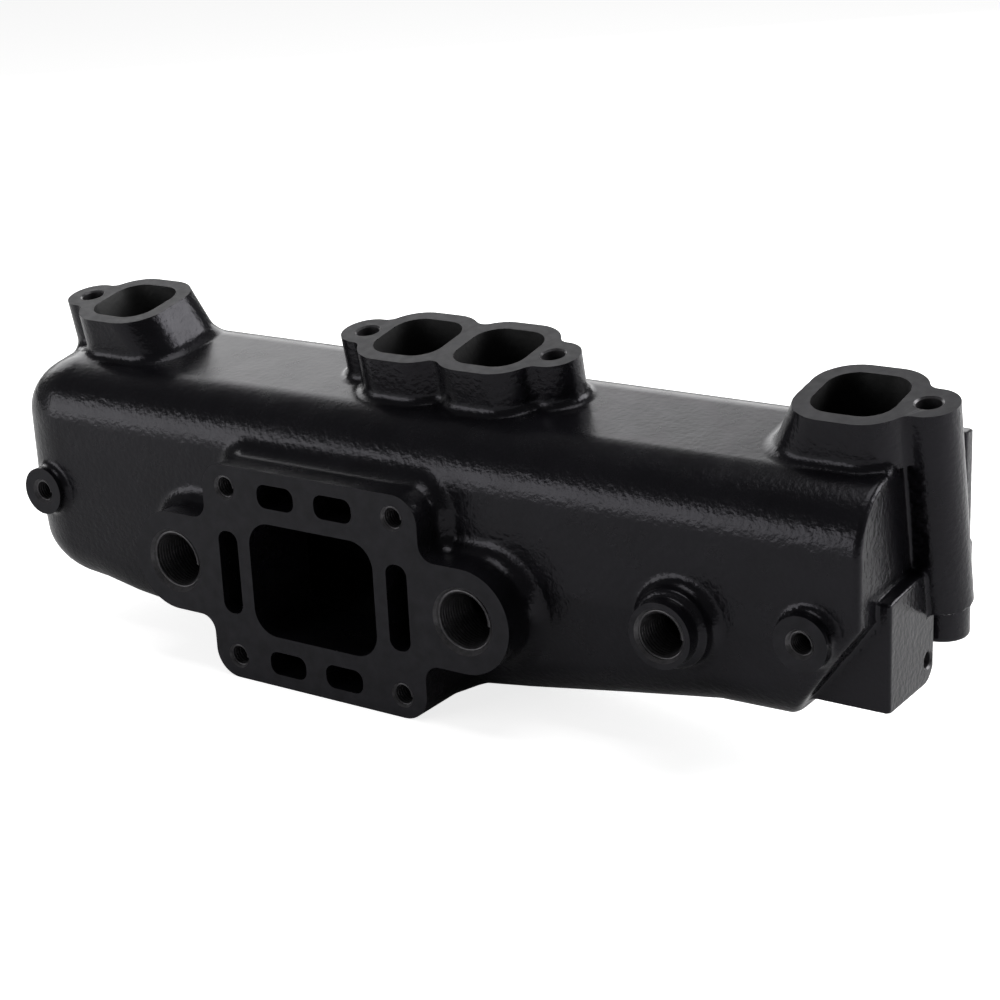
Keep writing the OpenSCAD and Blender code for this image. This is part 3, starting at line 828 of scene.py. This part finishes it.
def threadTree():
    tree = bpy.data.node_groups.new("pipeThread", "GeometryNodeTree")
    face = tree.interface
    face.new_socket("Geometry", in_out="OUTPUT", socket_type="NodeSocketGeometry")
    for label in ("Turns", "Major Radius", "Minor Radius", "Pitch"):
        face.new_socket(label, in_out="INPUT", socket_type="NodeSocketFloat")
    face.new_socket("Finish", in_out="INPUT", socket_type="NodeSocketMaterial")
    link = tree.links.new
    inputs = tree.nodes.new("NodeGroupInput")
    outputs = tree.nodes.new("NodeGroupOutput")

    def sums(operation, a, b):
        node = tree.nodes.new("ShaderNodeMath")
        node.operation = operation
        for socket, value in zip(node.inputs, (a, b)):
            if isinstance(value, float):
                socket.default_value = value
            else:
                link(value, socket)
        return node.outputs[0]

    spiral = tree.nodes.new("GeometryNodeCurveSpiral")
    spiral.inputs["Resolution"].default_value = 48
    link(inputs.outputs["Turns"], spiral.inputs["Rotations"])
    link(inputs.outputs["Major Radius"], spiral.inputs["Start Radius"])
    link(inputs.outputs["Major Radius"], spiral.inputs["End Radius"])
    link(sums("MULTIPLY", inputs.outputs["Turns"], inputs.outputs["Pitch"]), spiral.inputs["Height"])
    upright = tree.nodes.new("GeometryNodeSetCurveNormal")
    upright.mode = "Z_UP"
    link(spiral.outputs[0], upright.inputs["Curve"])
    section = tree.nodes.new("GeometryNodeCurvePrimitiveCircle")
    section.mode = "RADIUS"
    section.inputs["Resolution"].default_value = 3
    section.inputs["Radius"].default_value = 1.0
    stretch = tree.nodes.new("GeometryNodeTransform")
    deep = sums("SUBTRACT", inputs.outputs["Major Radius"], inputs.outputs["Minor Radius"])
    size = tree.nodes.new("ShaderNodeCombineXYZ")
    link(deep, size.inputs[0])
    link(sums("DIVIDE", inputs.outputs["Pitch"], math.sqrt(3)), size.inputs[1])
    size.inputs[2].default_value = 1.0
    link(section.outputs["Curve"], stretch.inputs["Geometry"])
    link(size.outputs[0], stretch.inputs["Scale"])
    sweep = tree.nodes.new("GeometryNodeCurveToMesh")
    link(upright.outputs["Curve"], sweep.inputs["Curve"])
    link(stretch.outputs[0], sweep.inputs["Profile Curve"])
    sweep.inputs["Fill Caps"].default_value = True
    real = tree.nodes.new("GeometryNodeRealizeInstances")
    link(sweep.outputs["Mesh"], real.inputs[0])
    finish = tree.nodes.new("GeometryNodeSetMaterial")
    link(real.outputs[0], finish.inputs["Geometry"])
    link(inputs.outputs["Finish"], finish.inputs["Material"])
    link(finish.outputs[0], outputs.inputs[0])
    return tree


def cutThread(name, tree, place, major, minor, pitch, turns):
    carrier = bpy.data.objects.new(name, bpy.data.meshes.new(name))
    scene.collection.objects.link(carrier)
    modifier = carrier.modifiers.new("thread", "NODES")
    modifier.node_group = tree
    sockets = {s.name: s.identifier for s in tree.interface.items_tree if s.in_out == "INPUT"}
    settings = {"Turns": float(turns), "Major Radius": major * millimetre, "Minor Radius": minor * millimetre,
                "Pitch": pitch * millimetre, "Finish": finishes[2]}
    for label, value in settings.items():
        modifier[sockets[label]] = value
    bpy.context.view_layer.update()
    mesh = bpy.data.meshes.new_from_object(carrier.evaluated_get(bpy.context.evaluated_depsgraph_get()))
    carrier.modifiers.clear()
    move = place.copy()
    move.translation = place.translation * millimetre
    mesh.transform(move)
    old = carrier.data
    carrier.data = mesh
    bpy.data.meshes.remove(old)
    mesh.name = name
    return carrier


def cutThreads():
    tree = threadTree()
    f = riser["face"]
    made = []

    def add(name, place, major, minor, pitch, deep, start=1.2):
        turns = int((deep - start) / pitch)
        place = place @ Matrix.Translation((0, 0, -start - turns * pitch))
        made.append(cutThread(name, tree, place, major, minor, pitch, turns))

    for label, sx in (("left", -1), ("right", 1)):
        place = placed("front", riser["x"] + sx * ears["x"], f, riser["z"])
        add(label + "WaterThread", place, ears["major"], ears["minor"], ears["pitch"],
            ears["threadDepth"])
        for tall, sz in (("Lower", -1), ("Upper", 1)):
            place = placed("front", riser["x"] + sx * riser["boltX"], f, riser["z"] + sz * riser["boltZ"])
            add(label + tall + "StudThread", place, riser["boltMajor"], riser["boltMinor"],
                riser["boltPitch"], riser["boltDepth"], 0.8)
    place = placed("front", sensor["x"], sensor["face"], sensor["z"])
    add("sensorThread", place, sensor["major"], sensor["minor"], sensor["pitch"],
        sensor["threadDepth"])
    for label, bx, by in zip(("left", "right"), brackets["x"], brackets["face"]):
        place = placed("front", bx, by, brackets["z"])
        add(label + "BracketThread", place, brackets["major"], brackets["minor"], brackets["pitch"],
            brackets["depth"], 1.0)
    return made


skin = castSkin()
say("casting settled, %d faces" % len(skin.data.polygons))
machineCasting(skin)
say("machined, %d faces" % len(skin.data.polygons))
pieces = splitCasting(skin)
threads = cutThreads()
for name, piece in pieces.items():
    finishPiece(piece)
    piece.name = name + "_cast"
    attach(piece, "root")
    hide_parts(name)
for thread in threads:
    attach(thread, "root")
say("pieces finished")


studio = {"floor": (0.84, 0.84, 0.84), "glow": (0.8, 0.8, 0.8), "world": 0.12, "half": 8.0}


def floorPlate():
    low = cadBox[0][2]
    mesh = bpy.data.meshes.new("floor")
    wide = studio["half"]
    mesh.from_pydata([(-wide, -wide, low), (wide, -wide, low), (wide, wide, low), (-wide, wide, low)],
                     [], [(0, 1, 2, 3)])
    plate = bpy.data.objects.new("floor", mesh)
    scene.collection.objects.link(plate)
    material, tree, shader, _ = newMaterial("paleFloor")
    shader.inputs["Base Color"].default_value = (*studio["floor"], 1)
    shader.inputs["Roughness"].default_value = 0.9
    shader.inputs["Emission Color"].default_value = (*studio["glow"], 1)
    path = tree.nodes.new("ShaderNodeLightPath")  # the floor glows for the camera only
    tree.links.new(path.outputs["Is Camera Ray"], shader.inputs["Emission Strength"])
    mesh.materials.append(material)


# metres and watts
lights = {
    "backLeft": {"place": (-1.30, 1.35, 0.80), "aim": (0, 0, -0.05), "size": (2.6, 1.25), "power": 27},
    "overhead": {"place": (0.1, 0.2, 2.0), "aim": (0.1, 0.2, 0), "size": (1.3, 1.3), "power": 16},
    "frontLeft": {"place": (-1.20, -1.55, 0.30), "aim": (0, 0, -0.06), "size": (1.8, 0.84), "power": 15},
    "backRight": {"place": (0.95, 0.75, 0.45), "aim": (0.75, 0.55, -0.15), "size": (0.9, 0.9), "power": 18},
}


def areaLight(name, place, aim, size, power):
    data = bpy.data.lights.new(name, "AREA")
    data.shape = "RECTANGLE"
    data.size, data.size_y = size
    data.energy = power
    lamp = bpy.data.objects.new(name, data)
    lamp.location = place
    lamp.rotation_euler = (Vector(aim) - Vector(place)).to_track_quat("-Z", "Y").to_euler()
    lamp.visible_camera = False
    scene.collection.objects.link(lamp)


view = {"place": (0.5441, -0.7442, 0.2375), "azimuth": 35.24, "elevation": 18.64, "roll": -2.80,
        "lens": 78.51, "sensor": 36}


def camera():
    data = bpy.data.cameras.new("camera")
    data.lens = view["lens"]
    data.sensor_width = view["sensor"]
    eye = bpy.data.objects.new("camera", data)
    a, e, r = (math.radians(view[k]) for k in ("azimuth", "elevation", "roll"))
    back = Vector((math.sin(a) * math.cos(e), -math.cos(a) * math.cos(e), math.sin(e)))
    across = Vector((math.cos(a), math.sin(a), 0))
    above = back.cross(across)
    right = across * math.cos(r) + above * math.sin(r)
    up = above * math.cos(r) - across * math.sin(r)
    turn = Matrix((right, up, back)).transposed().to_4x4()
    eye.matrix_world = Matrix.Translation(view["place"]) @ turn
    scene.collection.objects.link(eye)
    scene.camera = eye


world = bpy.data.worlds.new("studio")
world.use_nodes = True
world.node_tree.nodes["Background"].inputs["Color"].default_value = (1, 1, 1, 1)
world.node_tree.nodes["Background"].inputs["Strength"].default_value = studio["world"]
scene.world = world
scene.view_settings.view_transform = "Standard"
floorPlate()
for name, light in lights.items():
    areaLight(name, **light)
camera()
say("studio set")
